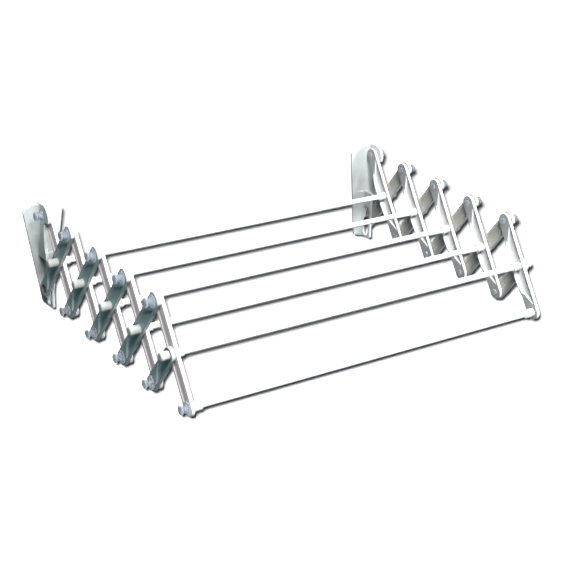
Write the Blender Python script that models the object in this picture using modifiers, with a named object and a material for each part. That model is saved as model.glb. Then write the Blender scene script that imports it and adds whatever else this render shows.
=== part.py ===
"""Pull-out wall drying rack: two concertina chains of moulded arms, joined by six coated tubes.

Metres, +Z up. The wall is the plane Y = 0 and the rack reaches out along -Y. Z = 0 is the level of the
two fixed pivots, and X = 0 is midway between the sides. side is -1 on the left and +1 on the right.
"""

import math

import bmesh
import bpy
from mathutils import Matrix

# Linkage
BAYS = 5
ARM = 0.1185
LEAN = math.radians(35.0)
WALL_TO_PIVOT = 0.0165

# Layers of one side, as distances from X = 0
INNER_BACK = 0.2474
OUTER_BACK = 0.2480
GAP = 0.0003

# Arms
INNER_SLAB = 0.0042
OUTER_SLAB = 0.0050
FLOOR = 0.0021
HALF_WIDTH = 0.0090
INNER_TANG = 0.0092
OUTER_TANG = 0.0104
WALL = 0.0020
BOW = ((0.0, 0.0077), (0.0085, 0.0076), (0.0170, 0.0073), (0.0260, 0.0066), (0.0330, 0.0054),
       (0.0370, 0.0030))
GROOVE_WIDTH = 0.0076
GROOVE_SHIFT = -0.0012
GROOVE_DEPTH = 0.0006
GROOVE_END = 0.0136
PIN_HOLE = 0.0031
TUBE_HOLE = 0.0038
INNER_BOSS_RADIUS = 0.0050
INNER_BOSS_END = 0.0128
OUTER_BOSS = ((0.0, 0.0149), (0.0030, 0.0147), (0.0043, 0.0140), (0.0051, 0.0127), (0.0053, 0.0108),
              (0.0053, 0.0010), (0.0, 0.0010))
OUTER_BOSS_DEPTH = 0.0125
STUD_OUTER = 0.0052
STUD_BORE = 0.0042
STUD_MOUTH = 0.0052
STUD_LENGTH = 0.0053

# Drying tubes
TUBE_RADIUS = 0.0035
TUBE_BORE = 0.0027
TUBE_END = 0.2600
FRONT_TUBE_END = 0.2469
FERRULE_RADIUS = 0.0055
FERRULE_LENGTH = 0.0111

# Spool knobs, as (radius, distance from the arm's face)
KNOB = ((0.0, 0.0091), (0.0054, 0.0091), (0.0054, 0.0073), (0.0038, 0.0058), (0.0038, 0.0038))
WIDE_FLARE = ((0.0054, 0.0018), (0.0080, 0.0005), (0.0080, 0.0))
SMALL_FLARE = ((0.0050, 0.0018), (0.0062, 0.0005), (0.0062, 0.0))
PIN_RADIUS = 0.0028
HEAD_RADIUS = 0.0038
HEAD_THICKNESS = 0.0014
PLUG_RADIUS = 0.0024
PLUG_LENGTH = 0.0075

# Wall bracket, right-hand one
PLATE = 0.0030
PLATE_OUTLINE = ((0.2195, 0.0010), (0.2240, 0.0060), (0.2300, 0.0092), (0.2370, 0.0113),
                 (0.2440, 0.0120), (0.2520, 0.0115), (0.2600, 0.0095), (0.2665, 0.0058),
                 (0.2715, 0.0010), (0.2480, -0.1205), (0.2464, -0.1228), (0.2350, -0.1228),
                 (0.2334, -0.1205))
UPPER_WEB = (0.2483, 0.2528)
LOWER_WEB = (0.2428, 0.2463)
STEP_TOP = -0.0548
STEP_BOTTOM = -0.0572
NOSE = (-0.0181, -0.0005, 0.0143)
UPPER_FRONT = ((-0.0307, -0.0066), (-0.0250, -0.0074), (-0.0219, -0.0084), (-0.0207, -0.0102),
               (-0.0205, -0.0140), (-0.0205, -0.0370), (-0.0214, -0.0425), (-0.0238, -0.0485),
               (-0.0245, -0.0530), (-0.0245, STEP_BOTTOM))
LOWER_FRONT = ((-0.0245, STEP_TOP), (-0.0245, -0.0620), (-0.0255, -0.0920), (-0.0274, -0.1190),
               (-0.0262, -0.1212), (-0.0020, -0.1222))
SLOT_HALF = 0.00555
SLOT_TOP = -0.0767
SLOT_BOTTOM = -0.1190

STEPS = 14

AXIS_TURNS = {
    "X": Matrix(((0, 0, 1, 0), (1, 0, 0, 0), (0, 1, 0, 0), (0, 0, 0, 1))),
    "Y": Matrix(((1, 0, 0, 0), (0, 0, -1, 0), (0, 1, 0, 0), (0, 0, 0, 1))),
    "Z": Matrix.Identity(4),
}


# ---------------------------------------------------------------- general helpers

def material(name, colour, roughness):
    made = bpy.data.materials.new(name)
    made.use_nodes = True
    shader = made.node_tree.nodes["Principled BSDF"]
    shader.inputs["Base Color"].default_value = (*colour, 1.0)
    shader.inputs["Roughness"].default_value = roughness
    shader.inputs["Metallic"].default_value = 0.0
    made.diffuse_color = (*colour, 1.0)
    return made


def evaluated_mesh(holder):
    """The holder's mesh with its modifiers applied; the holder is then removed."""
    bpy.context.view_layer.update()
    depsgraph = bpy.context.evaluated_depsgraph_get()
    mesh = bpy.data.meshes.new_from_object(holder.evaluated_get(depsgraph))
    bpy.data.objects.remove(holder)
    return mesh


def cleaned(mesh, matrix, flip=False):
    """Moves a mesh by a matrix, welds it and points its faces outwards."""
    bm = bmesh.new()
    bm.from_mesh(mesh)
    bmesh.ops.transform(bm, matrix=matrix, verts=bm.verts)
    bmesh.ops.remove_doubles(bm, verts=bm.verts, dist=1e-6)
    if flip:
        bmesh.ops.reverse_faces(bm, faces=bm.faces)
    else:
        bmesh.ops.recalc_face_normals(bm, faces=bm.faces)
    bm.to_mesh(mesh)
    bm.free()
    return mesh


def prism(outline, axis, low, high):
    """A flat outline made solid between two positions along an axis."""
    curve = bpy.data.curves.new("outline", "CURVE")
    curve.dimensions = "2D"
    curve.fill_mode = "BOTH"
    curve.extrude = abs(high - low) / 2
    spline = curve.splines.new("POLY")
    spline.points.add(len(outline) - 1)
    for point, (a, b) in zip(spline.points, outline):
        point.co = (a, b, 0.0, 1.0)
    spline.use_cyclic_u = True
    holder = bpy.data.objects.new("outline", curve)
    workshop.objects.link(holder)
    middle = Matrix.Identity(4)
    middle["XYZ".index(axis)][3] = (low + high) / 2
    return cleaned(evaluated_mesh(holder), middle @ AXIS_TURNS[axis])


def cylinder(y, z, radius, low, high, steps=STEPS):
    """A cylinder along X."""
    bm = bmesh.new()
    centre = Matrix.Translation(((low + high) / 2, y, z)) @ Matrix.Rotation(math.radians(90), 4, "Y")
    bmesh.ops.create_cone(bm, cap_ends=True, segments=steps, radius1=radius, radius2=radius,
                          depth=abs(high - low), matrix=centre)
    mesh = bpy.data.meshes.new("cylinder")
    bm.to_mesh(mesh)
    bm.free()
    return mesh


def turned(name, profile, closed=False, steps=STEPS):
    """A round piece turned about Z from a profile of (radius, height), outer side top to bottom."""
    mesh = bpy.data.meshes.new(name)
    edges = [(i, i + 1) for i in range(len(profile) - 1)]
    if closed:
        edges.append((len(profile) - 1, 0))
    mesh.from_pydata([(radius, 0.0, height) for radius, height in profile], edges, [])
    holder = bpy.data.objects.new(name, mesh)
    workshop.objects.link(holder)
    screw = holder.modifiers.new("turn", "SCREW")
    screw.steps = steps
    screw.render_steps = steps
    screw.use_merge_vertices = True
    screw.merge_threshold = 1e-5
    result = cleaned(evaluated_mesh(holder), Matrix.Identity(4))
    result.name = name
    return result


def carved(name, base, operations):
    """One mesh from a base, joined with or cut by other meshes in order."""
    holder = bpy.data.objects.new(name, base)
    workshop.objects.link(holder)
    tools = []
    for operation, mesh in operations:
        tool = bpy.data.objects.new("tool", mesh)
        workshop.objects.link(tool)
        modifier = holder.modifiers.new(operation, "BOOLEAN")
        modifier.operation = operation
        modifier.solver = "EXACT"
        modifier.object = tool
        tools.append(tool)
    result = evaluated_mesh(holder)
    for tool in tools:
        bpy.data.objects.remove(tool)
    result.name = name
    return result


def shade(mesh, surface):
    mesh.materials.clear()
    mesh.materials.append(surface)
    mesh.shade_smooth()
    mesh.set_sharp_from_angle(angle=math.radians(32))
    return mesh


def place(name, mesh, parent, location, turn=(0.0, 0.0, 0.0)):
    piece = bpy.data.objects.new(name, mesh)
    piece.parent = parent
    piece.location = location
    piece.rotation_euler = turn
    rack.objects.link(piece)
    return piece


def empty(name, parent, location, lean):
    """The frame of one moving body, on the axis of its joint."""
    frame = bpy.data.objects.new(name, None)
    frame.empty_display_size = 0.02
    frame.parent = parent
    frame.location = location
    frame.rotation_euler = (lean, 0.0, 0.0)
    rack.objects.link(frame)
    return frame


def outward(side):
    """Turns a piece's own Z to point away from the middle of the rack."""
    return (0.0, side * math.radians(90), 0.0)


# ---------------------------------------------------------------- arms

def arc(centre, radius, first, last, steps):
    """Points (w, s) on an arc; angles in degrees from +w towards the upper end of the arm."""
    points = []
    for i in range(steps + 1):
        angle = math.radians(first + (last - first) * i / steps)
        points.append((radius * math.cos(angle), centre - radius * math.sin(angle)))
    return points


def rounded_bar(top, bottom, top_radius, bottom_radius, half, steps):
    """Outline (w, s) of a bar with round ends that are a little wider than the bar."""
    upper = math.degrees(math.acos(min(1.0, half / top_radius)))
    lower = math.degrees(math.acos(min(1.0, half / bottom_radius)))
    return (arc(top, top_radius, upper, 180 - upper, steps)
            + arc(bottom, bottom_radius, 180 + lower, 360 - lower, steps))


def pocket_outline(start):
    """Leaf-shaped pocket of an arm; a half arm's pocket starts round its middle pivot."""
    middle = ARM / 2
    half = HALF_WIDTH - WALL
    lower = [(-half, middle + 0.0230), (-0.0050, middle + 0.0318), (-0.0018, middle + 0.0385),
             (0.0026, middle + 0.0450), (0.0067, middle + 0.0505), (half, middle + 0.0490)]
    if start > 0:
        return arc(middle, half, 0, 180, 8) + lower
    return [(w, ARM - s) for w, s in reversed(lower)] + lower


def bow_outline():
    """Side view (s, t) of an inner arm's back flange, which rises towards the middle of the arm."""
    lower = [(ARM / 2 + s, t) for s, t in BOW]
    return [(ARM - s, t) for s, t in reversed(lower[1:])] + lower


def arm_mesh(name, way, outer, start=0.0, bottom_hole=PIN_HOLE, stud=False):
    """An arm that hangs down -Z with its front edge towards -Y.

    The flat back is the plane X = 0 and the pocket opens along X = way. The mesh's own origin is at the
    top pivot of an inner arm and at the middle pivot of an outer arm, which are their joints' axes.
    start is where the arm begins, as a distance from the top pivot.
    """
    middle = ARM / 2
    origin = middle if outer else 0.0
    slab = OUTER_SLAB if outer else INNER_SLAB
    tang = OUTER_TANG if outer else INNER_TANG

    def layer(outline, low, high):
        return prism([(-w, origin - s) for w, s in outline], "X", way * low, way * high)

    def bore(s, radius, low, high):
        return cylinder(0.0, origin - s, radius, way * low, way * high)

    outline = rounded_bar(start, ARM, HALF_WIDTH if start > 0 else tang, tang, HALF_WIDTH, 8)
    groove_start = middle + 0.008 if start > 0 else GROOVE_END
    half = GROOVE_WIDTH / 2
    groove = rounded_bar(groove_start, ARM - GROOVE_END, half, half, half, 5)
    groove = [(w + GROOVE_SHIFT, s) for w, s in groove]
    operations = []
    if outer:
        boss = turned("boss", OUTER_BOSS)
        boss.transform(Matrix.Rotation(way * math.radians(90), 4, "Y"))
    else:
        boss = bore(middle, INNER_BOSS_RADIUS, 0.0010, INNER_BOSS_END)
        flange = [(way * t, origin - s) for s, t in bow_outline()]
        operations.append(("UNION", prism(flange, "Y", HALF_WIDTH - 0.003, HALF_WIDTH)))
    operations += [
        ("DIFFERENCE", layer(pocket_outline(start), FLOOR, 0.02)),
        ("UNION", boss),
        ("DIFFERENCE", layer(groove, -0.001, GROOVE_DEPTH)),
        ("DIFFERENCE", bore(middle, TUBE_HOLE, -0.01, OUTER_BOSS_DEPTH if outer else 0.02)),
    ]
    if start == 0:
        operations.append(("DIFFERENCE", bore(0.0, PIN_HOLE, -0.01, 0.02)))
    if stud:
        operations.append(("UNION", bore(ARM, STUD_OUTER, -STUD_LENGTH, 0.0010)))
        operations.append(("DIFFERENCE", bore(ARM, STUD_BORE, -0.01, 0.02)))
        operations.append(("DIFFERENCE", bore(ARM, STUD_MOUTH, 0.0013, 0.02)))
    else:
        operations.append(("DIFFERENCE", bore(ARM, bottom_hole, -0.01, 0.02)))
    return shade(carved(name, layer(outline, 0.0, slab), operations), arm_plastic)


# ---------------------------------------------------------------- wall bracket

def air(web_face, away, width, depth, low, high):
    """The space beside a web and in front of the plate, with a concave corner between them."""
    front = -PLATE
    corner_x = web_face + away * (width - 0.0003)
    corner_y = front - depth
    points = []
    for i in range(7):
        angle = math.radians(15 * i)
        points.append((corner_x - away * width * math.cos(angle), corner_y + depth * math.sin(angle)))
    far = web_face + away * 0.05
    outline = [(points[0][0], -0.06)] + points + [(far, front), (far, -0.06)]
    return prism(outline, "Z", low, high)


def bracket_mesh(side):
    upper_side = [(-0.0020, 0.0127), (-0.0181, 0.0138)]
    for i in range(1, 11):
        angle = math.radians(90 + 11.2 * i)
        upper_side.append((NOSE[0] + NOSE[2] * math.cos(angle), NOSE[1] + NOSE[2] * math.sin(angle)))
    upper_side += list(UPPER_FRONT) + [(-0.0020, STEP_BOTTOM)]
    lower_side = [(-0.0020, STEP_TOP)] + list(LOWER_FRONT)
    step = [(LOWER_WEB[0] + GAP, STEP_BOTTOM + 0.0002), (UPPER_WEB[1] - GAP, STEP_BOTTOM + 0.0002),
            (UPPER_WEB[1] - GAP, STEP_TOP - 0.0002), (LOWER_WEB[0] + GAP, STEP_TOP - 0.0002)]
    slot = rounded_bar(SLOT_HALF - SLOT_TOP, -SLOT_BOTTOM - SLOT_HALF, SLOT_HALF, SLOT_HALF, SLOT_HALF, 6)
    slot = [(-WALL_TO_PIVOT - w, -s) for w, s in slot]
    split = (STEP_TOP + STEP_BOTTOM) / 2
    core = ((0.2445, 0.001), (0.2445, -0.0012), (0.2472, -0.0030), (0.2496, -0.0060), (0.2515, -0.0060),
            (0.2550, -0.0040), (0.2590, -0.0018), (0.2590, 0.001))
    operations = [
        ("DIFFERENCE", air(UPPER_WEB[0], -1, 0.0140, 0.0045, split, 0.03)),
        ("DIFFERENCE", air(UPPER_WEB[1], 1, 0.0140, 0.0095, split, 0.03)),
        ("DIFFERENCE", air(LOWER_WEB[0], -1, 0.0140, 0.0090, -0.14, split)),
        ("DIFFERENCE", air(LOWER_WEB[1], 1, 0.0030, 0.0030, -0.14, split)),
        ("UNION", prism(upper_side, "X", *UPPER_WEB)),
        ("UNION", prism(lower_side, "X", *LOWER_WEB)),
        ("UNION", prism(step, "Y", -0.0242, -0.0025)),
        ("DIFFERENCE", prism(slot, "X", 0.236, 0.262)),
        ("DIFFERENCE", cylinder(-WALL_TO_PIVOT, 0.0, PIN_HOLE, 0.24, 0.26)),
        ("DIFFERENCE", prism(core, "Z", -0.050, -0.004)),
    ]
    mesh = carved("bracket", prism(PLATE_OUTLINE, "Y", -0.0120, 0.0), operations)
    if side < 0:
        cleaned(mesh, Matrix.Scale(-1, 4, (1, 0, 0)), flip=True)
    return shade(mesh, bracket_plastic)


# ---------------------------------------------------------------- the rack

def tube(name, end):
    """A straight coated tube, open at both ends, along its own Z."""
    profile = ((TUBE_BORE, end), (TUBE_RADIUS, end), (TUBE_RADIUS, -end), (TUBE_BORE, -end))
    return shade(turned(name, profile, closed=True, steps=16), tube_coating)


def build():
    outer_face = OUTER_BACK + OUTER_SLAB + GAP
    inner_face = INNER_BACK - INNER_SLAB - GAP
    ends = [(PIN_RADIUS, outer_face), (PIN_RADIUS, inner_face), (HEAD_RADIUS, inner_face),
            (HEAD_RADIUS, inner_face - HEAD_THICKNESS), (0.0, inner_face - HEAD_THICKNESS)]
    pin = [(radius, outer_face + height) for radius, height in KNOB + WIDE_FLARE] + ends
    fixed = [(radius, outer_face + height) for radius, height in KNOB + SMALL_FLARE] + ends
    spool = [(radius, INNER_BACK + GAP + height) for radius, height in KNOB + WIDE_FLARE]
    spool += [(PLUG_RADIUS, INNER_BACK + GAP), (PLUG_RADIUS, INNER_BACK - PLUG_LENGTH),
              (0.0, INNER_BACK - PLUG_LENGTH)]
    ferrule = [(TUBE_HOLE, inner_face), (FERRULE_RADIUS, inner_face),
               (FERRULE_RADIUS, inner_face - FERRULE_LENGTH), (TUBE_HOLE, inner_face - FERRULE_LENGTH)]
    pin_mesh = shade(turned("pivot_pin", pin), knob_plastic)
    fixed_mesh = shade(turned("fixed_pin", fixed), knob_plastic)
    spool_mesh = shade(turned("end_spool", spool), knob_plastic)
    ferrule_mesh = shade(turned("ferrule", ferrule, closed=True), ferrule_plastic)
    tube_mesh = tube("tube", TUBE_END)
    front_tube_mesh = tube("front_tube", FRONT_TUBE_END)

    # One empty for each moving body, each on its joint's axis and parented to the body it hangs from
    inner = []
    outer = []
    for bay in range(BAYS):
        if bay == 0:
            frame = empty("inner_frame_1", None, (0.0, -WALL_TO_PIVOT, 0.0), -LEAN)
        else:
            frame = empty(f"inner_frame_{bay + 1}", outer[-1], (0.0, 0.0, ARM / 2), -2 * LEAN)
        inner.append(frame)
        outer.append(empty(f"outer_frame_{bay + 1}", frame, (0.0, 0.0, -ARM / 2), 2 * LEAN))

    for side, hand in ((-1, "left"), (1, "right")):
        turn = outward(side)
        inner_arm = arm_mesh("inner_arm_" + hand, -side, False)
        last_arm = arm_mesh("last_arm_" + hand, -side, False, bottom_hole=TUBE_HOLE)
        first_arm = arm_mesh("first_arm_" + hand, side, True, stud=True)
        outer_arm = arm_mesh("outer_arm_" + hand, side, True)
        half_arm = arm_mesh("half_arm_" + hand, side, True, start=ARM / 2)
        place("wall_bracket_" + hand, bracket_mesh(side), None, (0.0, 0.0, 0.0))
        place("fixed_pin_" + hand, fixed_mesh, None, (0.0, -WALL_TO_PIVOT, 0.0), turn)
        for bay in range(BAYS):
            number = bay + 1
            last = number == BAYS
            place(f"inner_arm_{number}_{hand}", last_arm if last else inner_arm, inner[bay],
                  (side * INNER_BACK, 0.0, 0.0))
            mesh = first_arm if bay == 0 else half_arm if last else outer_arm
            place(f"outer_arm_{number}_{hand}", mesh, outer[bay], (side * OUTER_BACK, 0.0, 0.0))
            if not last:
                place(f"top_pin_{number}_{hand}", pin_mesh, outer[bay], (0.0, 0.0, ARM / 2), turn)
            if bay > 0:
                place(f"bottom_pin_{bay}_{hand}", pin_mesh, outer[bay], (0.0, 0.0, -ARM / 2), turn)
        place("ferrule_" + hand, ferrule_mesh, inner[-1], (0.0, 0.0, -ARM), turn)

    # Only the left end of the front tube is plugged with a spool; the right end is flush with its arm
    place("end_spool_left", spool_mesh, inner[-1], (0.0, 0.0, -ARM), outward(-1))

    for bay in range(BAYS):
        place(f"drying_rod_{bay + 1}", tube_mesh, inner[bay], (0.0, 0.0, -ARM / 2), outward(1))
    place(f"drying_rod_{BAYS + 1}", front_tube_mesh, inner[-1], (0.0, 0.0, -ARM), outward(1))


for old in list(bpy.data.objects):
    bpy.data.objects.remove(old)

rack = bpy.data.collections.new("pull_out_drying_rack")
workshop = bpy.data.collections.new("workshop")
bpy.context.scene.collection.children.link(rack)
bpy.context.scene.collection.children.link(workshop)

arm_plastic = material("arm_plastic", (0.83, 0.85, 0.85), 0.38)
bracket_plastic = material("bracket_plastic", (0.85, 0.87, 0.87), 0.42)
knob_plastic = material("knob_plastic", (0.80, 0.82, 0.86), 0.35)
ferrule_plastic = material("ferrule_plastic", (0.84, 0.86, 0.87), 0.40)
tube_coating = material("tube_coating", (0.90, 0.91, 0.91), 0.25)

build()
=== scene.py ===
"""Looks of the pull-out wall drying rack: moulded white plastic arms and brackets on coated tubes.

Metres, in the CAD frame: the wall is the plane Y = 0, the rack reaches out along -Y, and Z = 0 is the
level of the fixed pivots. side is -1 on the left and +1 on the right.
"""

import math

import bmesh
import bpy
from mathutils import Matrix, Vector


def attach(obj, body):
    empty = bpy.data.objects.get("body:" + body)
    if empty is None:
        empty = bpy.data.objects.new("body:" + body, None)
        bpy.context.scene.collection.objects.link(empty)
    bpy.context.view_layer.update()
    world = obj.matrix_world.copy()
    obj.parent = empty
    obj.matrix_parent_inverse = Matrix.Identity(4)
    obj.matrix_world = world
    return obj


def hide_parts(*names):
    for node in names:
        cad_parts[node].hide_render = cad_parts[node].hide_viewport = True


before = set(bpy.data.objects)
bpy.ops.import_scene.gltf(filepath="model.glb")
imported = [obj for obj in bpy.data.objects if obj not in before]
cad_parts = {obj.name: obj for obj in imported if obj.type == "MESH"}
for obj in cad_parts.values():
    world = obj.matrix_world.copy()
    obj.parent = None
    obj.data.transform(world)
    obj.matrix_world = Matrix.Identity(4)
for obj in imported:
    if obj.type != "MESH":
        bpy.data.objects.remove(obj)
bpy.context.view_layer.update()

# Linkage
BAYS = 5
ARM = 0.1185
MIDDLE = ARM / 2
LEAN = math.radians(35.0)
PITCH = ARM * math.sin(LEAN)
WALL_TO_PIVOT = 0.0165

# Layers of one side, as distances from X = 0
INNER_BACK = 0.2474
OUTER_BACK = 0.2480
INNER_SLAB = 0.0042
OUTER_SLAB = 0.0050
GAP = 0.0003
INNER_FACE = INNER_BACK - INNER_SLAB - GAP
OUTER_FACE = OUTER_BACK + OUTER_SLAB + GAP

# Arms
HALF_WIDTH = 0.0090
INNER_TANG = 0.0092
OUTER_TANG = 0.0104
WALL = 0.0020
PIN_HOLE = 0.0031
TUBE_HOLE = 0.0038
THROUGH = (-0.01, 0.02)
INNER_BOSS_RADIUS = 0.0050
INNER_BOSS_END = 0.0128
OUTER_BOSS_RADIUS = 0.0053
OUTER_BOSS_END = 0.0149
OUTER_BOSS_ROUND = 0.0022
OUTER_BOSS_DEPTH = 0.0125
BOSS_FOOT = 0.0010
STUD_OUTER = 0.0052
STUD_BORE = 0.0042
STUD_LENGTH = 0.0053
STUD_MOUTH_FLOOR = 0.0013

# The groove in an arm's flat back, and how far its ends stay from the pivots
GROOVE_HALF = 0.0038
GROOVE_SHIFT = 0.0012
GROOVE_DEPTH = 0.0006
GROOVE_CUT_START = -0.001
GROOVE_END = 0.0098
OUTER_GROOVE_TOP = 0.0110
HALF_GROOVE_TOP = 0.0118

# The pocket's back edge (distance from the arm's middle, w), and the form of its bottom
LEAF = ((0.0230, -0.0070), (0.0280, -0.0062), (0.0320, -0.0048), (0.0385, -0.0017), (0.0450, 0.0027),
        (0.0490, 0.0053), (0.0512, 0.0066))
POCKET_ROWS = 44
POCKET_FLOOR = 0.0021
POCKET_MOUTH = 0.0185
POCKET_ROUND_START = -0.0069
POCKET_DRAFT = 0.00012
POCKET_LEAST_WIDTH = 0.0003
POCKET_CORNER = 0.0026
POCKET_CORNER_SHARE = 0.42
POCKET_CORNER_HEIGHT = 0.75
POCKET_CORNER_STEPS = 7
TIP_WIDTH = 0.006
TIP_RISE = 0.0012

# The flange along an inner arm's back edge: (distance from the arm's middle, height)
BOW = ((0.0, 0.0077), (0.0085, 0.0076), (0.0170, 0.0073), (0.0260, 0.0066), (0.0330, 0.0054),
       (0.0370, 0.0030))
FLANGE = 0.003

# Wall bracket, right-hand one
PLATE = 0.0030
BLANK = 0.0120
ARCH = ((0.2195, 0.0010), (0.2240, 0.0060), (0.2300, 0.0092), (0.2370, 0.0113), (0.2440, 0.0120),
        (0.2520, 0.0115), (0.2600, 0.0095), (0.2665, 0.0058), (0.2715, 0.0010))
TAIL = ((0.2480, -0.1205), (0.2464, -0.1228), (0.2350, -0.1228), (0.2334, -0.1205))
WEB_BACK = -0.0020
UPPER_WEB = (0.2483, 0.2528)
LOWER_WEB = (0.2428, 0.2463)
STEP_TOP = -0.0548
STEP_BOTTOM = -0.0572
SPLIT = (STEP_TOP + STEP_BOTTOM) / 2
STEP_REACH = (-0.0242, -0.0025)
STEP_INSET = 0.0002
NOSE = (-0.0181, -0.0005, 0.0143)
NOSE_STEPS = 30
NOSE_TURN = 3.73
UPPER_CREST = ((WEB_BACK, 0.0127), (-0.0181, 0.0138))
UPPER_FRONT = ((-0.0307, -0.0066), (-0.0250, -0.0074), (-0.0219, -0.0084), (-0.0207, -0.0102),
               (-0.0205, -0.0140), (-0.0205, -0.0370), (-0.0214, -0.0425), (-0.0238, -0.0485),
               (-0.0245, -0.0530), (-0.0245, STEP_BOTTOM))
LOWER_FRONT = ((-0.0245, STEP_TOP), (-0.0245, -0.0620), (-0.0255, -0.0920), (-0.0274, -0.1190),
               (-0.0262, -0.1212), (WEB_BACK, -0.1222))
SLOT_HALF = 0.00555
SLOT_TOP = -0.0767
SLOT_BOTTOM = -0.1190
SLOT_CUT = (0.236, 0.262)
PIVOT_CUT = (0.24, 0.26)
CORE = ((0.2445, 0.001), (0.2445, -0.0012), (0.2472, -0.0030), (0.2496, -0.0060), (0.2515, -0.0060),
        (0.2550, -0.0040), (0.2590, -0.0018), (0.2590, 0.001))
CORE_HEIGHTS = (-0.026, -0.004)

# Concave corners between the webs and the plate: (height, width, depth) from top to bottom
AIR_TOP = 0.03
AIR_BOTTOM = -0.14
AIR_FRONT = -0.06
AIR_SIDE = 0.05
CORNER_STEPS = 18
UPPER_INNER_CORNER = ((AIR_TOP, 0.0140, 0.0045), (-0.030, 0.0140, 0.0045), (-0.044, 0.0155, 0.0090),
                      (SPLIT, 0.0175, 0.0165))
UPPER_OUTER_CORNER = ((AIR_TOP, 0.0140, 0.0095), (-0.018, 0.0140, 0.0090), (-0.028, 0.0128, 0.0078),
                      (-0.038, 0.0090, 0.0048), (-0.048, 0.0042, 0.0020), (SPLIT, 0.0008, 0.0006))
LOWER_INNER_CORNER = ((SPLIT, 0.0140, 0.0090), (AIR_BOTTOM, 0.0140, 0.0090))
LOWER_OUTER_CORNER = ((SPLIT, 0.0030, 0.0030), (AIR_BOTTOM, 0.0030, 0.0030))

# Spool knobs, as (radius, distance from the arm's face), and the radius of each of their corners
KNOB = [(0.0, 0.0091), (0.0054, 0.0091), (0.0054, 0.0073), (0.0038, 0.0058), (0.0038, 0.0038)]
WIDE_FLARE = [(0.0052, 0.0017), (0.0080, 0.0006), (0.0080, 0.0)]
SMALL_FLARE = [(0.0048, 0.0016), (0.0062, 0.0006), (0.0062, 0.0)]
KNOB_ROUNDS = [0.0005, 0.0004, 0.0012, 0.0013, 0.0012, 0.0004, 0.0002]
KNOB_STEPS = 5
CRISP = 0.0001
PIN_RADIUS = 0.0028
HEAD_RADIUS = 0.0038
HEAD_THICKNESS = 0.0014
HEAD_ROUND = 0.0006
PLUG_RADIUS = 0.0024
PLUG_LENGTH = 0.0075
PLUG_ROUND = 0.0004

# Drying tubes and ferrules
TUBE_RADIUS = 0.0035
TUBE_BORE = 0.0027
TUBE_ROUND = 0.0002
TUBE_END = 0.2600
FRONT_TUBE_END = 0.2469
FERRULE_RADIUS = 0.0055
FERRULE_LENGTH = 0.0111
FERRULE_ROUND = 0.0006
FERRULE_SEAM = (0.005, 0.006)

# Mesh finish
WELD = 1e-6
ROUND_STEPS = 48
SMOOTH_STEPS = 5
ARCH_STEPS = 6
TANG_STEPS = 24
GROOVE_STEPS = 10
SLOT_STEPS = 20
BOSS_STEPS = 8
FILLET_STEPS = 4
FILLET_SHARE = 0.45
RELAX_PASSES = 4
ARM_VOXEL = 0.00042
ARM_SHARE = 0.22
BRACKET_VOXEL = 0.00045
BRACKET_SHARE = 0.25
CREASE = math.radians(50)

AXIS_TURNS = {
    "X": Matrix(((0, 0, 1, 0), (1, 0, 0, 0), (0, 1, 0, 0), (0, 0, 0, 1))),
    "Y": Matrix(((1, 0, 0, 0), (0, 0, -1, 0), (0, 1, 0, 0), (0, 0, 0, 1))),
    "Z": Matrix.Identity(4),
}

# Collections: a workshop for tools, the whole rack, and the groups that the lights tell apart
workshop = bpy.data.collections.new("workshop")
bpy.context.scene.collection.children.link(workshop)
rack = bpy.data.collections.new("rack")
bpy.context.scene.collection.children.link(rack)
moulded = bpy.data.collections.new("moulded")
unknobbed = bpy.data.collections.new("unknobbed")
knobs = bpy.data.collections.new("knobs")


# ---------------------------------------------------------------- general helpers

def tool(name, data):
    """An object that only lends its shape."""
    holder = bpy.data.objects.new(name, data)
    workshop.objects.link(holder)
    return holder


def evaluated_mesh(holder, name):
    """The holder's mesh with its modifiers applied; the holder is then removed."""
    bpy.context.view_layer.update()
    depsgraph = bpy.context.evaluated_depsgraph_get()
    mesh = bpy.data.meshes.new_from_object(holder.evaluated_get(depsgraph))
    mesh.name = name
    bpy.data.objects.remove(holder)
    return mesh


def cleaned(mesh, matrix=Matrix.Identity(4)):
    """The mesh moved by a matrix, with double points joined and its faces turned outwards."""
    bm = bmesh.new()
    bm.from_mesh(mesh)
    bmesh.ops.transform(bm, matrix=matrix, verts=bm.verts)
    bmesh.ops.remove_doubles(bm, verts=bm.verts, dist=WELD)
    bmesh.ops.recalc_face_normals(bm, faces=bm.faces)
    bm.to_mesh(mesh)
    bm.free()
    return mesh


def catmull_rom(a, b, c, d, t):
    """The curve's value between b and c, as t goes from 0 to 1."""
    return 0.5 * (2 * b + (c - a) * t + (2 * a - 5 * b + 4 * c - d) * t * t
                  + (3 * b - a - 3 * c + d) * t ** 3)


def smooth_path(points, steps):
    """Catmull-Rom points through the given ones."""
    count = len(points)
    result = []
    for i in range(count - 1):
        near = [points[max(0, min(count - 1, i + k - 1))] for k in range(4)]
        for j in range(steps):
            result.append(tuple(catmull_rom(*values, j / steps) for values in zip(*near)))
    result.append(tuple(points[-1]))
    return result


def filleted(profile, radii, steps=FILLET_STEPS):
    """Rounds the corners of an open profile; radii is one radius, or a list of one for each inner point."""
    points = [profile[0]]
    for i in range(1, len(profile) - 1):
        a, b, c = Vector(profile[i - 1]), Vector(profile[i]), Vector(profile[i + 1])
        radius = radii[i - 1] if isinstance(radii, list) else radii
        reach = min(radius, FILLET_SHARE * (a - b).length, FILLET_SHARE * (c - b).length)
        start = b + (a - b).normalized() * reach
        end = b + (c - b).normalized() * reach
        for j in range(steps + 1):
            t = j / steps
            points.append(tuple(start * (1 - t) ** 2 + b * 2 * t * (1 - t) + end * t * t))
    points.append(profile[-1])
    return points


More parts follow.
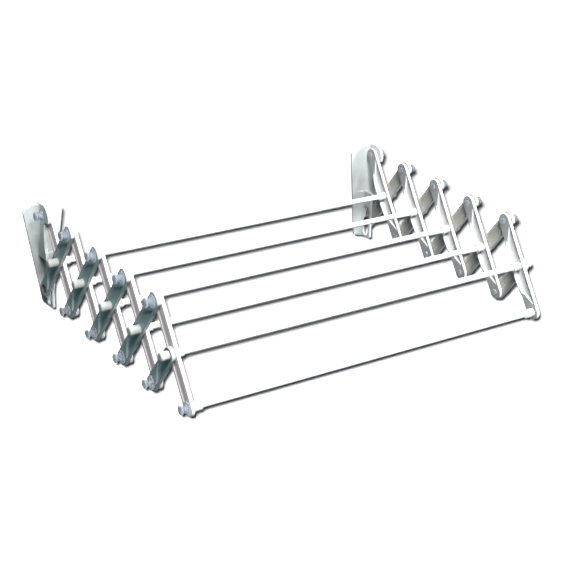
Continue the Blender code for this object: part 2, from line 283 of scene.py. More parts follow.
def prism(outline, axis, low, high):
    """A flat outline made solid between two positions along an axis."""
    curve = bpy.data.curves.new("outline", "CURVE")
    curve.dimensions = "2D"
    curve.fill_mode = "BOTH"
    curve.extrude = abs(high - low) / 2
    spline = curve.splines.new("POLY")
    spline.points.add(len(outline) - 1)
    for point, (a, b) in zip(spline.points, outline):
        point.co = (a, b, 0.0, 1.0)
    spline.use_cyclic_u = True
    middle = Matrix.Identity(4)
    middle["XYZ".index(axis)][3] = (low + high) / 2
    return cleaned(evaluated_mesh(tool("outline", curve), "outline"), middle @ AXIS_TURNS[axis])


def cylinder(y, z, radius, low, high):
    """A cylinder along X."""
    bm = bmesh.new()
    centre = Matrix.Translation(((low + high) / 2, y, z)) @ Matrix.Rotation(math.radians(90), 4, "Y")
    bmesh.ops.create_cone(bm, cap_ends=True, segments=ROUND_STEPS, radius1=radius, radius2=radius,
                          depth=abs(high - low), matrix=centre)
    mesh = bpy.data.meshes.new("cylinder")
    bm.to_mesh(mesh)
    bm.free()
    return mesh


def lofted(rows):
    """A solid through rings of points, one after another."""
    bm = bmesh.new()
    rings = [[bm.verts.new(point) for point in row] for row in rows]
    for one, two in zip(rings, rings[1:]):
        size = len(one)
        for k in range(size):
            after = (k + 1) % size
            bm.faces.new((one[k], one[after], two[after], two[k]))
    bm.faces.new(rings[0])
    bm.faces.new(list(reversed(rings[-1])))
    bmesh.ops.recalc_face_normals(bm, faces=bm.faces)
    mesh = bpy.data.meshes.new("loft")
    bm.to_mesh(mesh)
    bm.free()
    return mesh


def turned(name, profile, closed=False):
    """A round piece turned about Z from a profile of (radius, height)."""
    mesh = bpy.data.meshes.new(name)
    edges = [(i, i + 1) for i in range(len(profile) - 1)]
    if closed:
        edges.append((len(profile) - 1, 0))
    mesh.from_pydata([(radius, 0.0, height) for radius, height in profile], edges, [])
    holder = tool(name, mesh)
    screw = holder.modifiers.new("turn", "SCREW")
    screw.steps = ROUND_STEPS
    screw.render_steps = ROUND_STEPS
    screw.use_merge_vertices = True
    screw.merge_threshold = WELD
    return cleaned(evaluated_mesh(holder, name))


def carved(name, base, operations):
    """One mesh from a base, joined with or cut by other meshes in order."""
    holder = tool(name, base)
    helpers = []
    for operation, mesh in operations:
        helper = tool("helper", mesh)
        modifier = holder.modifiers.new(operation, "BOOLEAN")
        modifier.operation = operation
        modifier.solver = "EXACT"
        modifier.object = helper
        helpers.append(helper)
    result = evaluated_mesh(holder, name)
    for helper in helpers:
        bpy.data.objects.remove(helper)
    return result


def softened(mesh, voxel, share):
    """Rounds every edge the way moulded plastic is round: an even remesh, relaxed, then thinned."""
    holder = tool(mesh.name, mesh)
    remesh = holder.modifiers.new("remesh", "REMESH")
    remesh.mode = "VOXEL"
    remesh.voxel_size = voxel
    remesh.adaptivity = 0.0
    relax = holder.modifiers.new("relax", "SMOOTH")
    relax.factor = 0.5
    relax.iterations = RELAX_PASSES
    thin = holder.modifiers.new("thin", "DECIMATE")
    thin.decimate_type = "COLLAPSE"
    thin.ratio = share
    result = evaluated_mesh(holder, mesh.name)
    result.shade_smooth()
    return result


# ---------------------------------------------------------------- arms
#
# s runs down an arm from its top pivot, w across it towards its front edge, and t out of its flat back.

def arc(centre, radius, first, last, steps):
    points = []
    for i in range(steps + 1):
        angle = math.radians(first + (last - first) * i / steps)
        points.append((radius * math.cos(angle), centre - radius * math.sin(angle)))
    return points


def rounded_bar(top, bottom, top_radius, bottom_radius, half, steps):
    """Outline (w, s) of a bar with round ends, which may be wider than the bar."""
    upper = math.degrees(math.acos(min(1.0, half / top_radius)))
    lower = math.degrees(math.acos(min(1.0, half / bottom_radius)))
    return (arc(top, top_radius, upper, 180 - upper, steps)
            + arc(bottom, bottom_radius, 180 + lower, 360 - lower, steps))


def leaf_edge(distance):
    """The pocket's back edge (w) at a distance from the arm's middle."""
    if distance <= LEAF[0][0]:
        return LEAF[0][1]
    for (a, wa), (b, wb) in zip(LEAF, LEAF[1:]):
        if distance <= b:
            return wa + (wb - wa) * (distance - a) / (b - a)
    return LEAF[-1][1]


def pocket_span(d, half_arm):
    """The pocket's two edges (w) at d, which is measured down from the arm's middle."""
    front = HALF_WIDTH - WALL
    if half_arm and d < 0:
        half = math.sqrt(max(1e-10, front ** 2 - d * d))
        return -half, half
    return leaf_edge(abs(d)), front


def pocket_section(back, front):
    """Section (w, t) of the pocket's air, with rounded corners at its bottom."""
    width = max(front - back, POCKET_LEAST_WIDTH)
    centre = (front + back) / 2
    bottom = POCKET_FLOOR + TIP_RISE * (1 - min(1.0, width / TIP_WIDTH)) ** 2
    corner = min(POCKET_CORNER, width * POCKET_CORNER_SHARE)
    right = []
    for j in range(POCKET_CORNER_STEPS + 1):
        angle = math.pi / 2 * j / POCKET_CORNER_STEPS
        w = centre - width / 2 + corner * (1 - math.sin(angle))
        right.append((w, bottom + corner * POCKET_CORNER_HEIGHT * (1 - math.cos(angle))))
    left = list(reversed(right))
    right = [(2 * centre - w, t) for w, t in right]
    mouth = width / 2 + POCKET_DRAFT
    return [(centre - mouth, POCKET_MOUTH)] + left + right + [(centre + mouth, POCKET_MOUTH)]


def pocket_air(half_arm, point):
    """The air of an arm's pocket: a leaf in outline, with a rounded bottom that rises to its tips.

    A half arm's pocket starts round its middle pivot. point places (w, s, t) in the piece's own space.
    """
    tip = LEAF[-1][0]
    low = POCKET_ROUND_START if half_arm else -tip
    rows = []
    for i in range(POCKET_ROWS + 1):
        d = low + (tip - low) * (0.5 - 0.5 * math.cos(math.pi * i / POCKET_ROWS))
        section = pocket_section(*pocket_span(d, half_arm))
        rows.append([point(w, MIDDLE + d, t) for w, t in section])
    return lofted(rows)


def bow_outline(way):
    """Outline (x, z) of the flange that rises along an inner arm's back edge towards its middle."""
    rise = smooth_path([(MIDDLE + s, t) for s, t in BOW], SMOOTH_STEPS)
    mirrored = [(ARM - s, t) for s, t in reversed(rise[1:])]
    return [(way * t, -s) for s, t in mirrored + rise]


def outer_boss(way):
    """The closed, domed boss on an outer arm's pocket side."""
    profile = filleted([(0.0, OUTER_BOSS_END), (OUTER_BOSS_RADIUS, OUTER_BOSS_END),
                        (OUTER_BOSS_RADIUS, BOSS_FOOT), (0.0, BOSS_FOOT)],
                       [OUTER_BOSS_ROUND, CRISP], BOSS_STEPS)
    boss = turned("boss", profile)
    boss.transform(Matrix.Rotation(way * math.radians(90), 4, "Y"))
    return boss


def arm_mesh(name, way, outer, half_arm=False, bottom_hole=PIN_HOLE, stud=False):
    """An arm that hangs down -Z with its front edge towards -Y; its pocket opens along X = way.

    An inner arm's own space starts at its top pivot, and an outer arm's at its middle pivot.
    """
    origin = MIDDLE if outer else 0.0
    slab = OUTER_SLAB if outer else INNER_SLAB
    tang = OUTER_TANG if outer else INNER_TANG
    top = MIDDLE if half_arm else 0.0

    def layer(outline, low, high):
        return prism([(-w, origin - s) for w, s in outline], "X", way * low, way * high)

    def bore(s, radius, low, high):
        return cylinder(0.0, origin - s, radius, way * low, way * high)

    groove_start = GROOVE_END
    if half_arm:
        groove_start = MIDDLE + HALF_GROOVE_TOP
    elif outer:
        groove_start = OUTER_GROOVE_TOP
    groove = rounded_bar(groove_start, ARM - GROOVE_END, GROOVE_HALF, GROOVE_HALF, GROOVE_HALF,
                         GROOVE_STEPS)
    groove = [(w - GROOVE_SHIFT, s) for w, s in groove]
    air = pocket_air(half_arm, lambda w, s, t: (way * t, -w, origin - s))
    operations = []
    if outer:
        boss = outer_boss(way)
    else:
        boss = bore(MIDDLE, INNER_BOSS_RADIUS, BOSS_FOOT, INNER_BOSS_END)
        operations.append(("UNION", prism(bow_outline(way), "Y", HALF_WIDTH - FLANGE, HALF_WIDTH)))
    operations += [
        ("DIFFERENCE", air),
        ("UNION", boss),
        ("DIFFERENCE", layer(groove, GROOVE_CUT_START, GROOVE_DEPTH)),
        ("DIFFERENCE", bore(MIDDLE, TUBE_HOLE, THROUGH[0], OUTER_BOSS_DEPTH if outer else THROUGH[1])),
    ]
    if not half_arm:
        operations.append(("DIFFERENCE", bore(0.0, PIN_HOLE, *THROUGH)))
    if stud:
        operations.append(("UNION", bore(ARM, STUD_OUTER, -STUD_LENGTH, BOSS_FOOT)))
        operations.append(("DIFFERENCE", bore(ARM, STUD_BORE, *THROUGH)))
        operations.append(("DIFFERENCE", bore(ARM, STUD_OUTER, STUD_MOUTH_FLOOR, THROUGH[1])))
    else:
        operations.append(("DIFFERENCE", bore(ARM, bottom_hole, *THROUGH)))
    outline = rounded_bar(top, ARM, HALF_WIDTH if half_arm else tang, tang, HALF_WIDTH, TANG_STEPS)
    return softened(carved(name, layer(outline, 0.0, slab), operations), ARM_VOXEL, ARM_SHARE)


# ---------------------------------------------------------------- wall bracket

def web_air(web_face, away, rows):
    """The space beside a web and in front of the plate, with a concave corner between them.

    rows gives (height, width, depth): the corner's size from the top of the space to its bottom.
    """
    rings = []
    for height, width, depth in rows:
        corner_x = web_face + away * (width - GAP)
        corner_y = -PLATE - depth
        outline = [(web_face - away * GAP, AIR_FRONT)]
        for i in range(CORNER_STEPS + 1):
            angle = math.radians(90 / CORNER_STEPS * i)
            outline.append((corner_x - away * width * math.cos(angle),
                            corner_y + depth * math.sin(angle)))
        far = web_face + away * AIR_SIDE
        outline += [(far, -PLATE), (far, AIR_FRONT)]
        rings.append([(x, y, height) for x, y in outline])
    return lofted(rings)


def upper_web():
    """The web above the step, with its round nose."""
    y, z, radius = NOSE
    side = list(UPPER_CREST)
    for i in range(1, NOSE_STEPS + 1):
        angle = math.radians(90 + NOSE_TURN * i)
        side.append((y + radius * math.cos(angle), z + radius * math.sin(angle)))
    side += list(UPPER_FRONT) + [(WEB_BACK, STEP_BOTTOM)]
    return prism(side, "X", *UPPER_WEB)


def lower_web():
    return prism([(WEB_BACK, STEP_TOP)] + list(LOWER_FRONT), "X", *LOWER_WEB)


def web_step():
    """The ledge that joins the two webs."""
    left, right = LOWER_WEB[0] + GAP, UPPER_WEB[1] - GAP
    low, high = STEP_BOTTOM + STEP_INSET, STEP_TOP - STEP_INSET
    return prism([(left, low), (right, low), (right, high), (left, high)], "Y", *STEP_REACH)


def slide_slot():
    slot = rounded_bar(SLOT_HALF - SLOT_TOP, -SLOT_BOTTOM - SLOT_HALF, SLOT_HALF, SLOT_HALF, SLOT_HALF,
                       SLOT_STEPS)
    return prism([(-WALL_TO_PIVOT - w, -s) for w, s in slot], "X", *SLOT_CUT)


def bracket_mesh(side):
    plate = smooth_path(ARCH, ARCH_STEPS) + list(TAIL)
    operations = [
        ("DIFFERENCE", web_air(UPPER_WEB[0], -1, UPPER_INNER_CORNER)),
        ("DIFFERENCE", web_air(UPPER_WEB[1], 1, UPPER_OUTER_CORNER)),
        ("DIFFERENCE", web_air(LOWER_WEB[0], -1, LOWER_INNER_CORNER)),
        ("DIFFERENCE", web_air(LOWER_WEB[1], 1, LOWER_OUTER_CORNER)),
        ("UNION", upper_web()),
        ("UNION", lower_web()),
        ("UNION", web_step()),
        ("DIFFERENCE", slide_slot()),
        ("DIFFERENCE", cylinder(-WALL_TO_PIVOT, 0.0, PIN_HOLE, *PIVOT_CUT)),
        ("DIFFERENCE", prism(CORE, "Z", *CORE_HEIGHTS)),
    ]
    mesh = carved("bracket", prism(plate, "Y", -BLANK, 0.0), operations)
    if side < 0:
        cleaned(mesh, Matrix.Scale(-1, 4, (1, 0, 0)))
    return softened(mesh, BRACKET_VOXEL, BRACKET_SHARE)


# ---------------------------------------------------------------- pins, spool, ferrules and tubes

def pin_profile(flare):
    """A knob outside the arms, a shaft through them and a flat head inside."""
    knob = [(radius, OUTER_FACE + height) for radius, height in KNOB + flare]
    shaft = [(PIN_RADIUS, OUTER_FACE), (PIN_RADIUS, INNER_FACE)]
    head = [(HEAD_RADIUS, INNER_FACE), (HEAD_RADIUS, INNER_FACE - HEAD_THICKNESS),
            (0.0, INNER_FACE - HEAD_THICKNESS)]
    return filleted(knob + shaft + head, KNOB_ROUNDS + [CRISP, CRISP, CRISP, HEAD_ROUND], KNOB_STEPS)


def spool_profile():
    """A knob with a plug that goes into the front tube."""
    face = INNER_BACK + GAP
    end = INNER_BACK - PLUG_LENGTH
    knob = [(radius, face + height) for radius, height in KNOB + WIDE_FLARE]
    plug = [(PLUG_RADIUS, face), (PLUG_RADIUS, end), (0.0, end)]
    return filleted(knob + plug, KNOB_ROUNDS + [CRISP, PLUG_ROUND], KNOB_STEPS)


def ferrule_profile():
    """A sleeve on the front tube, drawn from a point in its bore and back to it."""
    end = INNER_FACE - FERRULE_LENGTH
    first, last = ((TUBE_HOLE, INNER_FACE - depth) for depth in FERRULE_SEAM)
    sleeve = [(TUBE_HOLE, INNER_FACE), (FERRULE_RADIUS, INNER_FACE), (FERRULE_RADIUS, end), (TUBE_HOLE, end)]
    return filleted([first] + sleeve + [last], FERRULE_ROUND)


def tube_profile(end):
    profile = [(TUBE_BORE, 0.0), (TUBE_BORE, end), (TUBE_RADIUS, end), (TUBE_RADIUS, -end),
               (TUBE_BORE, -end), (TUBE_BORE, 0.0)]
    return filleted(profile, TUBE_ROUND)[:-1]


def round_meshes():
    meshes = {
        "pin": turned("pivot_pin", pin_profile(WIDE_FLARE)),
        "fixed": turned("fixed_pin", pin_profile(SMALL_FLARE)),
        "spool": turned("end_spool", spool_profile()),
        "ferrule": turned("ferrule", ferrule_profile(), closed=True),
        "tube": turned("tube", tube_profile(TUBE_END), closed=True),
        "front_tube": turned("front_tube", tube_profile(FRONT_TUBE_END), closed=True),
    }
    for mesh in meshes.values():
        mesh.shade_smooth()
        mesh.set_sharp_from_angle(angle=CREASE)
    return meshes


# ---------------------------------------------------------------- materials

REFRACTION = 1.50
GLOW_REACH = 0.012
FLOW_SCALE = 90.0
FLOW_DETAIL = 3.0
FLOW_RANGE = (0.30, 0.72)
GLOSS_RANGE = (0.3, 0.7)
GLOSSIER = 0.05
DULLER = 0.07
SKIN_SCALE = 1400.0
SKIN_DETAIL = 2.0
SKIN_HEIGHT = 0.0001
SIDEWAYS = (0.35, 0.80)
BACK_LAYER = (0.0010, 0.0016)
FACE_BLUR = (0.0004, 0.0002)
RING_BLUR = 0.0003


def absolute(tree, value):
    node = tree.nodes.new("ShaderNodeMath")
    node.operation = "ABSOLUTE"
    tree.links.new(value, node.inputs[0])
    return node.outputs[0]


def length(tree, vector):
    node = tree.nodes.new("ShaderNodeVectorMath")
    node.operation = "LENGTH"
    tree.links.new(vector, node.inputs[0])
    return node.outputs["Value"]


def along_axes(tree, vector):
    node = tree.nodes.new("ShaderNodeSeparateXYZ")
    tree.links.new(vector, node.inputs["Vector"])
    return node.outputs


def ranged(tree, value, low, high, to_low=0.0, to_high=1.0):
    """A value carried from one range to another."""
    node = tree.nodes.new("ShaderNodeMapRange")
    node.inputs["From Min"].default_value = low
    node.inputs["From Max"].default_value = high
    node.inputs["To Min"].default_value = to_low
    node.inputs["To Max"].default_value = to_high
    tree.links.new(value, node.inputs["Value"])
    return node.outputs["Result"]


def noise(tree, vector, scale, detail):
    node = tree.nodes.new("ShaderNodeTexNoise")
    node.inputs["Scale"].default_value = scale
    node.inputs["Detail"].default_value = detail
    if vector:
        tree.links.new(vector, node.inputs["Vector"])
    return node.outputs["Fac"]


def colour_ramp(tree, value, steps):
    """A colour for each place from 0 to 1, from steps of (place, colour)."""
    node = tree.nodes.new("ShaderNodeValToRGB")
    elements = node.color_ramp.elements
    for place, colour in steps[1:-1]:
        elements.new(place)
    for element, (place, colour) in zip(elements, steps):
        element.position = place
        element.color = (*colour, 1.0)
    tree.links.new(value, node.inputs["Fac"])
    return node.outputs["Color"]


def mixed(tree, factor, first, second, blend="MIX"):
    """Two colours mixed. The factor and the colours are either sockets or constants."""
    node = tree.nodes.new("ShaderNodeMix")
    node.data_type = "RGBA"
    node.blend_type = blend
    for key, value in (("Factor", factor), ("A", first), ("B", second)):
        if isinstance(value, bpy.types.NodeSocket):
            tree.links.new(value, node.inputs[key])
        else:
            node.inputs[key].default_value = value if key == "Factor" else (*value, 1.0)
    return node.outputs["Result"]


def painted_shade_by_height(tree, tint, position, ends, marks, face):
    """Painted shade: keeps a share of the brightness; marks gives it at places (0 to 1) from ends[1] to
    ends[0] on Z.

    With face, only surfaces farther than that from X = 0 get this painted shade.
    """
    parts = along_axes(tree, position)
    kept = colour_ramp(tree, ranged(tree, parts["Z"], ends[1], ends[0]),
                       [(place, (share, share, share)) for place, share in marks])
    factor = 1.0
    if face:
        factor = ranged(tree, absolute(tree, parts["X"]), face - FACE_BLUR[0], face + FACE_BLUR[1])
    return mixed(tree, factor, tint, kept, "MULTIPLY")


def painted_side_shade(tree, tint, place, back, pocket):
    """Painted shade: tints the faces that look along X, an arm's flat back near X = 0 and its pocket side,
    and leaves its edges as they are.
    """
    sideways = ranged(tree, absolute(tree, along_axes(tree, place.outputs["Normal"])["X"]), *SIDEWAYS)
    level = absolute(tree, along_axes(tree, place.outputs["Object"])["X"])
    pair = mixed(tree, ranged(tree, level, *BACK_LAYER), back, pocket)
    return mixed(tree, sideways, tint, pair, "MULTIPLY")


def ringed(tree, tint, position, height, radius, colour):
    """Gives the pivot at a height on Z a flat colour out to a radius, in place of the tint."""
    offset = tree.nodes.new("ShaderNodeVectorMath")
    offset.operation = "MULTIPLY_ADD"
    offset.inputs[1].default_value = (0.0, 1.0, 1.0)
    offset.inputs[2].default_value = (0.0, 0.0, -height)
    tree.links.new(position, offset.inputs[0])
    reach = length(tree, offset.outputs["Vector"])
    return mixed(tree, ranged(tree, reach, radius + RING_BLUR, radius - RING_BLUR), tint, colour)


def surface(slot, colour, shade_colour, roughness, bump, streak=(1.0, 1.0, 1.0), coat=0.0, glow=0.0,
            ends=None, marks=(), face=None, side_shades=None, rings=()):
    """A white moulding: faint mottling in colour and gloss, drawn out by streak, and a fine skin.

    glow is how much light passes into it. ends, marks and face set a painted shade along Z, the two side
    tints are painted shade on the flat back and the pocket side, and rings gives the height, radius and
    colour of each ring.
    """
    made = bpy.data.materials.new(slot)
    made["slot"] = slot
    made.use_nodes = True
    tree = made.node_tree
    shader = tree.nodes["Principled BSDF"]
    shader.inputs["IOR"].default_value = REFRACTION
    shader.inputs["Coat Weight"].default_value = coat
    shader.inputs["Subsurface Weight"].default_value = glow
    shader.inputs["Subsurface Radius"].default_value = (1.0, 1.0, 1.0)
    shader.inputs["Subsurface Scale"].default_value = GLOW_REACH

    place = tree.nodes.new("ShaderNodeTexCoord")
    position = place.outputs["Object"]
    scale = tree.nodes.new("ShaderNodeMapping")
    scale.inputs["Scale"].default_value = streak
    tree.links.new(position, scale.inputs["Vector"])
    flow = noise(tree, scale.outputs["Vector"], FLOW_SCALE, FLOW_DETAIL)

    tint = colour_ramp(tree, flow, ((FLOW_RANGE[0], shade_colour), (FLOW_RANGE[1], colour)))
    if ends:
        tint = painted_shade_by_height(tree, tint, position, ends, marks, face)
    if side_shades:
        tint = painted_side_shade(tree, tint, place, *side_shades)
    for ring in rings:
        tint = ringed(tree, tint, position, *ring)
    tree.links.new(tint, shader.inputs["Base Color"])

    gloss = ranged(tree, flow, *GLOSS_RANGE, roughness - GLOSSIER, roughness + DULLER)
    tree.links.new(gloss, shader.inputs["Roughness"])
    dent = tree.nodes.new("ShaderNodeBump")
    dent.inputs["Strength"].default_value = bump
    dent.inputs["Distance"].default_value = SKIN_HEIGHT
    tree.links.new(noise(tree, position, SKIN_SCALE, SKIN_DETAIL), dent.inputs["Height"])
    tree.links.new(dent.outputs["Normal"], shader.inputs["Normal"])
    return made


LONG = (1.0, 1.0, 0.16)
# Painted shade: the pocket side darkens to about half towards both pivots, the flat back gets a pink painted
# tint and the pocket side a darker grey one.
inner_plastic = surface(
    "arm_plastic", (0.92, 0.90, 0.90), (0.84, 0.82, 0.82), 0.34, 0.25, LONG,
    ends=(0.009, -0.1275), face=0.0038,
    marks=((0.0, 0.52), (0.20, 0.58), (0.34, 1.0), (0.66, 1.0), (0.80, 0.58), (1.0, 0.52)),
    side_shades=((1.0, 0.87, 0.88), (0.60, 0.61, 0.60)))
# Painted shade: the outer arms are the same white plastic as the inner ones, given a darker base colour,
# with a warm painted tint on the flat back and a teal painted shade tint on the pocket side.
outer_plastic = surface(
    "arm_plastic", (0.48, 0.49, 0.47), (0.42, 0.44, 0.42), 0.34, 0.25, LONG,
    side_shades=((0.76, 0.70, 0.66), (0.60, 0.80, 0.86)),
    # rings: the boss at the middle pivot keeps the plain base colour, without the painted side shade, so it
    # shows lighter; round the bottom pivot a warm darker ring, and inside it a near-black disc of painted
    # shade in the bore.
    rings=((0.0, 0.0060, (0.48, 0.48, 0.45)), (-MIDDLE, 0.0080, (0.46, 0.38, 0.29)),
           (-MIDDLE, 0.0054, (0.02, 0.02, 0.02))))
# Painted shade: the brackets are white plastic given a grey base colour, darkened further to about 0.6
# between Z = -0.08 and -0.04.
bracket_plastic = surface(
    "bracket_plastic", (0.54, 0.56, 0.56), (0.49, 0.51, 0.50), 0.36, 0.25, (1.0, 1.0, 0.3),
    ends=(0.0, -0.10), marks=((0.0, 1.0), (0.20, 0.57), (0.60, 0.66), (0.80, 0.97), (1.0, 1.0)))
knob_plastic = surface("knob_plastic", (0.195, 0.215, 0.245), (0.18, 0.20, 0.23), 0.75, 0.06, glow=1.0)
ferrule_plastic = surface("ferrule_plastic", (0.82, 0.85, 0.86), (0.78, 0.81, 0.82), 0.35, 0.2)
tube_coating = surface("tube_coating", (0.88, 0.90, 0.90), (0.85, 0.87, 0.87), 0.24, 0.15, LONG, 0.3)


# ---------------------------------------------------------------- the rack

def put(name, mesh, finish, body, matrix):
    """Shows a detailed piece in place of the CAD node of the same name."""
    piece = bpy.data.objects.new(name + "_skin", mesh)
    rack.objects.link(piece)
    if "arm" in name or "bracket" in name:
        moulded.objects.link(piece)
    if finish is knob_plastic:
        knobs.objects.link(piece)
    else:
        unknobbed.objects.link(piece)
    mesh.materials.clear()
    mesh.materials.append(finish)
    piece.matrix_world = matrix
    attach(piece, body)
    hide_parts(name)
    return piece


def inner_place(bay):
    """Where an inner arm's top pivot is, and how the arm leans."""
    return Matrix.Translation((0.0, -WALL_TO_PIVOT - bay * PITCH, 0.0)) @ Matrix.Rotation(-LEAN, 4, "X")


def outer_place(bay):
    """Where an outer arm's middle pivot is, and how the arm leans."""
    centre = (0.0, -WALL_TO_PIVOT - (bay + 0.5) * PITCH, -MIDDLE * math.cos(LEAN))
    return Matrix.Translation(centre) @ Matrix.Rotation(LEAN, 4, "X")


def build_side(side, hand, meshes):
    turn = Matrix.Rotation(side * math.radians(90), 4, "Y")
    down = Matrix.Translation((0.0, 0.0, -MIDDLE))
    up = Matrix.Translation((0.0, 0.0, MIDDLE))
    to_inner_layer = Matrix.Translation((side * INNER_BACK, 0.0, 0.0))
    to_outer_layer = Matrix.Translation((side * OUTER_BACK, 0.0, 0.0))
    inner_arm = arm_mesh("inner_arm_" + hand, -side, False)
    last_arm = arm_mesh("last_arm_" + hand, -side, False, bottom_hole=TUBE_HOLE)
    first_arm = arm_mesh("first_arm_" + hand, side, True, stud=True)
    outer_arm = arm_mesh("outer_arm_" + hand, side, True)
    half_arm = arm_mesh("half_arm_" + hand, side, True, half_arm=True)

    put("wall_bracket_" + hand, bracket_mesh(side), bracket_plastic, "wall_side", Matrix.Identity(4))
    put("fixed_pin_" + hand, meshes["fixed"], knob_plastic, "wall_side",
        Matrix.Translation((0.0, -WALL_TO_PIVOT, 0.0)) @ turn)
    for bay in range(BAYS):
        number = bay + 1
        last = number == BAYS
        outer_body = f"outer_bay_{number}"
        put(f"inner_arm_{number}_{hand}", last_arm if last else inner_arm, inner_plastic,
            f"inner_bay_{number}", inner_place(bay) @ to_inner_layer)
        mesh = first_arm if bay == 0 else half_arm if last else outer_arm
        put(f"outer_arm_{number}_{hand}", mesh, outer_plastic, outer_body,
            outer_place(bay) @ to_outer_layer)
        if not last:
            put(f"top_pin_{number}_{hand}", meshes["pin"], knob_plastic, outer_body,
                outer_place(bay) @ up @ turn)
        if bay > 0:
            put(f"bottom_pin_{bay}_{hand}", meshes["pin"], knob_plastic, outer_body,
                outer_place(bay) @ down @ turn)

    low_end = inner_place(BAYS - 1) @ Matrix.Translation((0.0, 0.0, -ARM)) @ turn
    put("ferrule_" + hand, meshes["ferrule"], ferrule_plastic, f"inner_bay_{BAYS}", low_end)
    if side < 0:
        put("end_spool_left", meshes["spool"], knob_plastic, f"inner_bay_{BAYS}", low_end)


def build_rods(meshes):
    across = Matrix.Rotation(math.radians(90), 4, "Y")
    for bay in range(BAYS):
        put(f"drying_rod_{bay + 1}", meshes["tube"], tube_coating, f"inner_bay_{bay + 1}",
            inner_place(bay) @ Matrix.Translation((0.0, 0.0, -MIDDLE)) @ across)
    put(f"drying_rod_{BAYS + 1}", meshes["front_tube"], tube_coating, f"inner_bay_{BAYS}",
        inner_place(BAYS - 1) @ Matrix.Translation((0.0, 0.0, -ARM)) @ across)


def build():
    meshes = round_meshes()
    build_side(-1, "left", meshes)
    build_side(1, "right", meshes)
    build_rods(meshes)


# ---------------------------------------------------------------- camera, light and floor

EYE = (-0.89259, -1.4323, 0.62031)
YAW, PITCH_DOWN, ROLL = (math.radians(angle) for angle in (35.13, 24.36, 3.05))
LENS = 87.635
SENSOR = 36.0
NEAREST = 0.05
FARTHEST = 50.0

AMBIENT = (0.50, 0.85, 0.95)
AMBIENT_STRENGTH = 0.13
BACKDROP = (0.80, 0.79, 0.79)

FLOOR_LEVEL = -0.30
FLOOR_SIZE = 14.0
FLOOR_TONES = ((0.0, (0.40, 0.375, 0.375)), (1.0, (0.43, 0.40, 0.40)))
FLOOR_GLOW = (1.0, 0.99, 0.99)
FLOOR_GLOW_STRENGTH = 0.80
FLOOR_ROUGHNESS = 0.9
FLOOR_TONE_SCALE = 3.0
FLOOR_TONE_DETAIL = 2.0
FADE_START = 1.8
FADE_END = 5.0

HEART = (0.0, -0.2, -0.05)
LEFT_CHAIN = (-0.2, -0.2, -0.05)
LEFT_KNOBS = (-0.25, -0.2, -0.05)
UNDER_HEART = (0.0, -0.2, -0.1)
BESIDE_CAMERA = (-0.0125, 0.0158, 0.0)


def camera():
    data = bpy.data.cameras.new("camera")
    data.sensor_width = SENSOR
    data.lens = LENS
    data.clip_start = NEAREST
    data.clip_end = FARTHEST
    eye = bpy.data.objects.new("camera", data)
    bpy.context.scene.collection.objects.link(eye)
    ahead = Vector((math.sin(YAW) * math.cos(PITCH_DOWN), math.cos(YAW) * math.cos(PITCH_DOWN),
                    -math.sin(PITCH_DOWN)))
    right = Vector((math.cos(YAW), -math.sin(YAW), 0.0))
    up = right.cross(ahead)
    x = right * math.cos(ROLL) + up * math.sin(ROLL)
    y = up * math.cos(ROLL) - right * math.sin(ROLL)
    turn = Matrix((x, y, -ahead)).transposed().to_4x4()
    eye.matrix_world = Matrix.Translation(EYE) @ turn
    bpy.context.scene.camera = eye


def backdrop():
    """A dim tinted light all round, which the camera sees as a pale wall."""
    world = bpy.data.worlds.new("studio")
    bpy.context.scene.world = world
    world.use_nodes = True
    tree = world.node_tree
    ambient = tree.nodes["Background"]
    ambient.inputs["Color"].default_value = (*AMBIENT, 1.0)
    ambient.inputs["Strength"].default_value = AMBIENT_STRENGTH
    pale = tree.nodes.new("ShaderNodeBackground")
    pale.inputs["Color"].default_value = (*BACKDROP, 1.0)
    path = tree.nodes.new("ShaderNodeLightPath")
    either = tree.nodes.new("ShaderNodeMixShader")
    tree.links.new(path.outputs["Is Camera Ray"], either.inputs[0])
    tree.links.new(ambient.outputs[0], either.inputs[1])
    tree.links.new(pale.outputs[0], either.inputs[2])
    tree.links.new(either.outputs[0], tree.nodes["World Output"].inputs["Surface"])


def paper():
    """Matt paper that glows faintly far away, where the floor light doesn't reach."""
    made = bpy.data.materials.new("floor")
    made.use_nodes = True
    tree = made.node_tree
    shader = tree.nodes["Principled BSDF"]
    shader.inputs["Roughness"].default_value = FLOOR_ROUGHNESS
    shader.inputs["Specular IOR Level"].default_value = 0.0
    shader.inputs["Emission Color"].default_value = (*FLOOR_GLOW, 1.0)
    tone = noise(tree, None, FLOOR_TONE_SCALE, FLOOR_TONE_DETAIL)
    tree.links.new(colour_ramp(tree, tone, FLOOR_TONES), shader.inputs["Base Color"])
    place = tree.nodes.new("ShaderNodeTexCoord")
    distance = length(tree, place.outputs["Object"])
    fade = ranged(tree, distance, FADE_START, FADE_END, 0.0, FLOOR_GLOW_STRENGTH)
    tree.links.new(fade, shader.inputs["Emission Strength"])
    return made


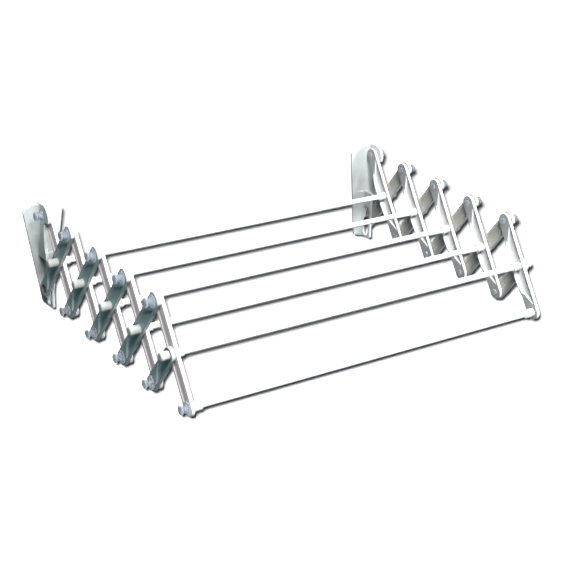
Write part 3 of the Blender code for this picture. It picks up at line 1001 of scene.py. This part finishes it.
def floor(stage):
    mesh = bpy.data.meshes.new("floor")
    bm = bmesh.new()
    bmesh.ops.create_grid(bm, x_segments=2, y_segments=2, size=FLOOR_SIZE)
    bm.to_mesh(mesh)
    bm.free()
    mesh.materials.append(paper())
    sheet = bpy.data.objects.new("floor", mesh)
    sheet.location = (0.0, 0.0, FLOOR_LEVEL)
    sheet.visible_diffuse = False
    sheet.visible_glossy = False
    stage.objects.link(sheet)


def lamp(name, place, target, size, power, colour, lit, blockers=None):
    """A soft square light on one collection; with blockers, only their pieces cast its shadow."""
    data = bpy.data.lights.new(name, "AREA")
    data.size = size
    data.energy = power
    data.color = colour
    light = bpy.data.objects.new(name, data)
    light.location = place
    light.rotation_euler = (Vector(target) - Vector(place)).to_track_quat("-Z", "Y").to_euler()
    light.light_linking.receiver_collection = lit
    if blockers:
        light.light_linking.blocker_collection = blockers
    bpy.context.scene.collection.objects.link(light)
    return light


def floor_light(stage):
    """A small light close beside the camera, as bright far away as near: it gives the tight drop shadow."""
    place = bpy.context.scene.camera.matrix_world @ Vector(BESIDE_CAMERA)
    light = lamp("floor_light", place, UNDER_HEART, 0.022, 100.0, (1.0, 1.0, 1.0), stage)
    light.data.use_nodes = True
    tree = light.data.node_tree
    even = tree.nodes.new("ShaderNodeLightFalloff")
    even.inputs["Strength"].default_value = 1.0
    tree.links.new(even.outputs["Constant"], tree.nodes["Emission"].inputs["Strength"])


def studio():
    scene = bpy.context.scene
    scene.view_settings.view_transform = "Standard"
    scene.view_settings.look = "None"
    stage = bpy.data.collections.new("stage")
    scene.collection.children.link(stage)
    backdrop()
    floor(stage)
    lamp("overhead", (-0.15, -0.80, 1.10), HEART, 0.30, 19.0, (1.0, 0.985, 0.98), rack)
    lamp("left", (-0.74, -1.56, 1.88), LEFT_CHAIN, 0.90, 90.0, (0.97, 1.0, 1.0), rack, moulded)
    lamp("front", (1.9, -1.9, 0.80), HEART, 0.60, 70.0, (1.0, 0.99, 0.99), unknobbed)
    lamp("back", (0.9, 1.9, 0.30), HEART, 0.80, 30.0, (1.0, 1.0, 1.0), unknobbed)
    lamp("low", (-0.9, -1.0, -0.5), LEFT_KNOBS, 0.50, 14.0, (0.95, 1.0, 1.0), knobs, moulded)
    floor_light(stage)


build()
camera()
studio()
